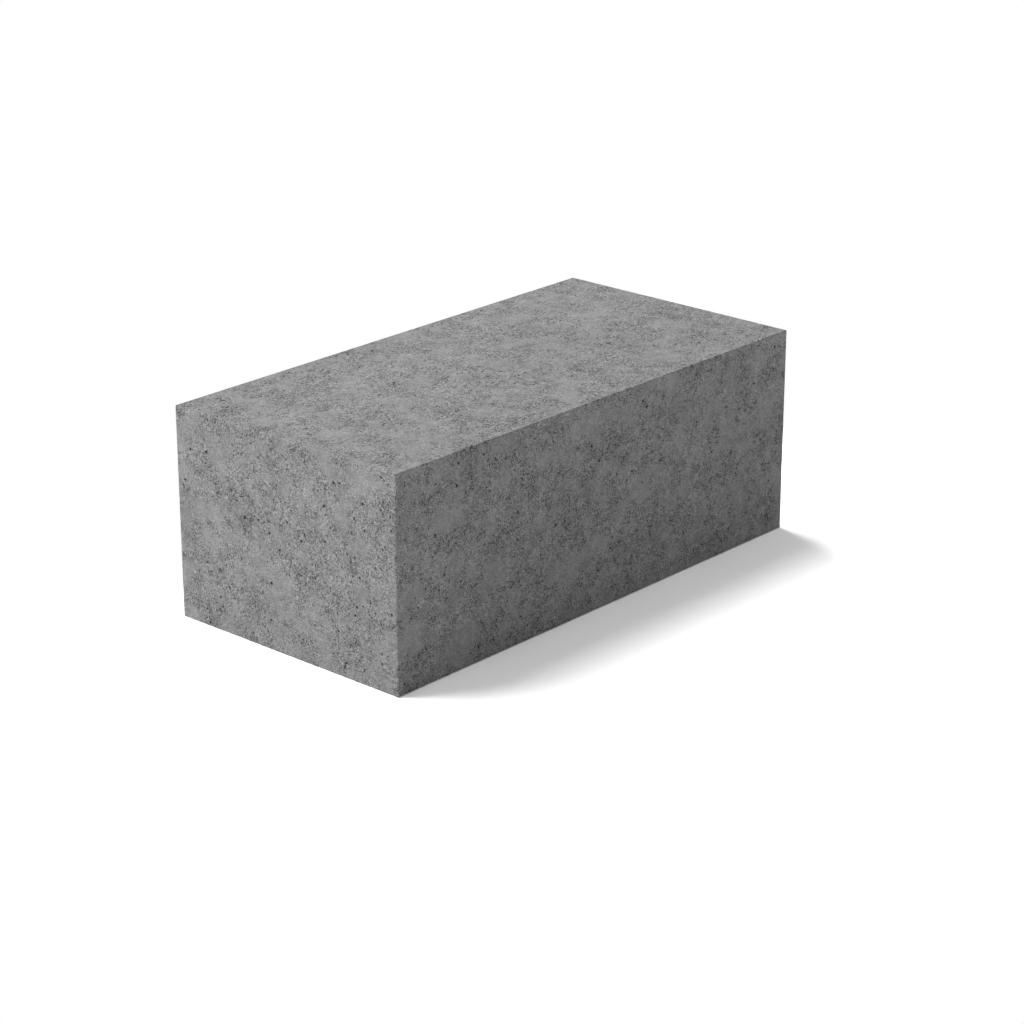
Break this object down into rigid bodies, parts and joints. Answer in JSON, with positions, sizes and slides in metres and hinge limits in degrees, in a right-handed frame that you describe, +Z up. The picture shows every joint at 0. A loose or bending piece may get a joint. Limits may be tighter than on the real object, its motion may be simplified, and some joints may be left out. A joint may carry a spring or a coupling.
{
  "type": "concrete kerb",
  "caption": "Flush road kerb unit: a plain rectangular block of cast grey concrete with crisp arrises, laid in line with its top level with the paving.",
  "frame": {"origin": "middle of the bed face, on the ground", "axes": "+X along the kerb line (the length), +Y from the road face to the backing face (the width), +Z up (the height)"},
  "size_m": [0.4, 0.2, 0.15],
  "materials": {
    "concrete": "matte"
  },
  "bodies": {
    "root": {"kerb_block": "concrete"}
  },
  "joints": []
}
